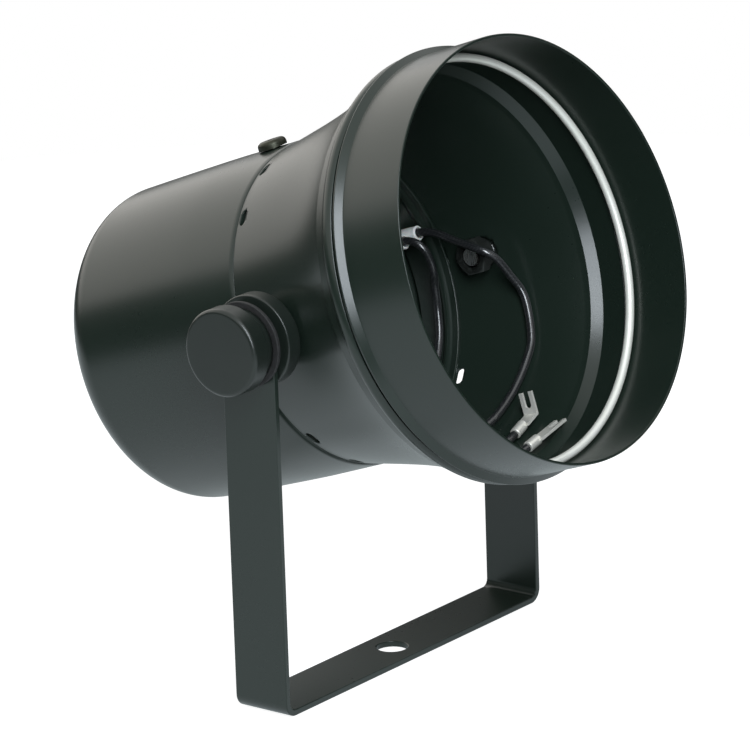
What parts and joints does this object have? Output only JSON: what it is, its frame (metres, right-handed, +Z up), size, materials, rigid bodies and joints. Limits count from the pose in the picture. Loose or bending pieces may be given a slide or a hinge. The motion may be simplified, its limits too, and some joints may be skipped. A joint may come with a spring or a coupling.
{
  "type": "pinspot light",
  "caption": "Small tilting pinspot light: round black can with a flared bell and a short hood in a U bracket, clamped by side knobs, for a sealed-beam lamp.",
  "frame": {"origin": "centre of the bracket's fixing hole, on the underside of the cross strap", "axes": "+Z up along the bracket's arms, X along the tilt axis, light pointing to -Y and tilted 19.8 degrees up at rest"},
  "size_m": [0.1426, 0.1799, 0.1842],
  "materials": {
    "black_paint": "satin black stove enamel on steel sheet",
    "black_plastic": "satin black moulded plastic",
    "washer_rubber": "dull black rubber",
    "zinc_steel": "bright zinc plate",
    "spring_wire": "bright round spring wire",
    "lead_sleeve": "glossy black heat-resistant sleeving",
    "pale_insulator": "pale moulded insulator",
    "lamination_steel": "stacked and varnished laminations",
    "winding_copper": "copper winding under amber tape",
    "galvanised_steel": "galvanised strap",
    "supply_wire": "smooth insulated wire",
    "earth_wire": "smooth insulated wire"
  },
  "bodies": {
    "bracket": {"yoke_bracket": "black_paint"},
    "can": {"rear_can": "black_paint", "can_screw": "black_paint", "front_bell": "black_paint", "lamp_hood": "black_paint", "heat_shield": "black_paint", "tilt_spacer_left": "black_plastic", "tilt_spacer_right": "black_plastic", "gland_body": "black_plastic", "gland_cap": "black_plastic", "gland_locknut": "black_plastic", "gland_seal": "washer_rubber", "pivot_nut_left": "zinc_steel", "pivot_nut_right": "zinc_steel", "lead_terminal_upper": "zinc_steel", "lead_terminal_lower": "zinc_steel", "transformer_screw_left": "zinc_steel", "transformer_screw_right": "zinc_steel", "transformer_nut_left": "zinc_steel", "transformer_nut_right": "zinc_steel", "terminal_screw_1": "zinc_steel", "terminal_screw_2": "zinc_steel", "terminal_screw_3": "zinc_steel", "earth_screw": "zinc_steel", "earth_nut": "zinc_steel", "earth_tag": "zinc_steel", "lamp_lead_upper": "lead_sleeve", "lamp_lead_lower": "lead_sleeve", "secondary_lead_upper": "lead_sleeve", "secondary_lead_lower": "lead_sleeve", "lead_bush": "pale_insulator", "transformer_bobbin": "pale_insulator", "terminal_block": "pale_insulator", "transformer_core": "lamination_steel", "transformer_windings": "winding_copper", "transformer_frame": "galvanised_steel", "primary_lead_live": "supply_wire", "primary_lead_neutral": "supply_wire", "earth_lead": "earth_wire"},
    "knob_left": {"knob_left": "black_plastic", "knob_stud_left": "zinc_steel", "knob_washer_left": "washer_rubber"},
    "knob_right": {"knob_right": "black_plastic", "knob_stud_right": "zinc_steel", "knob_washer_right": "washer_rubber"},
    "ring": {"lamp_retaining_ring": "spring_wire"}
  },
  "joints": [
    {"name": "can_tilt", "type": "hinge", "parent": "bracket", "child": "can", "pos_m": [0, 0, 0.1069], "axis": [-1, 0, 0], "range_deg": [-62, 200]},
    {"name": "knob_left_turn", "type": "hinge", "parent": "can", "child": "knob_left", "pos_m": [-0.066, 0, 0.1069], "axis": [-1, 0, 0], "continuous": true},
    {"name": "knob_right_turn", "type": "hinge", "parent": "can", "child": "knob_right", "pos_m": [0.066, 0, 0.1069], "axis": [1, 0, 0], "continuous": true},
    {"name": "ring_pull", "type": "slide", "parent": "can", "child": "ring", "axis": [0, -0.9409, 0.3387], "range_m": [0, 0.024]}
  ]
}
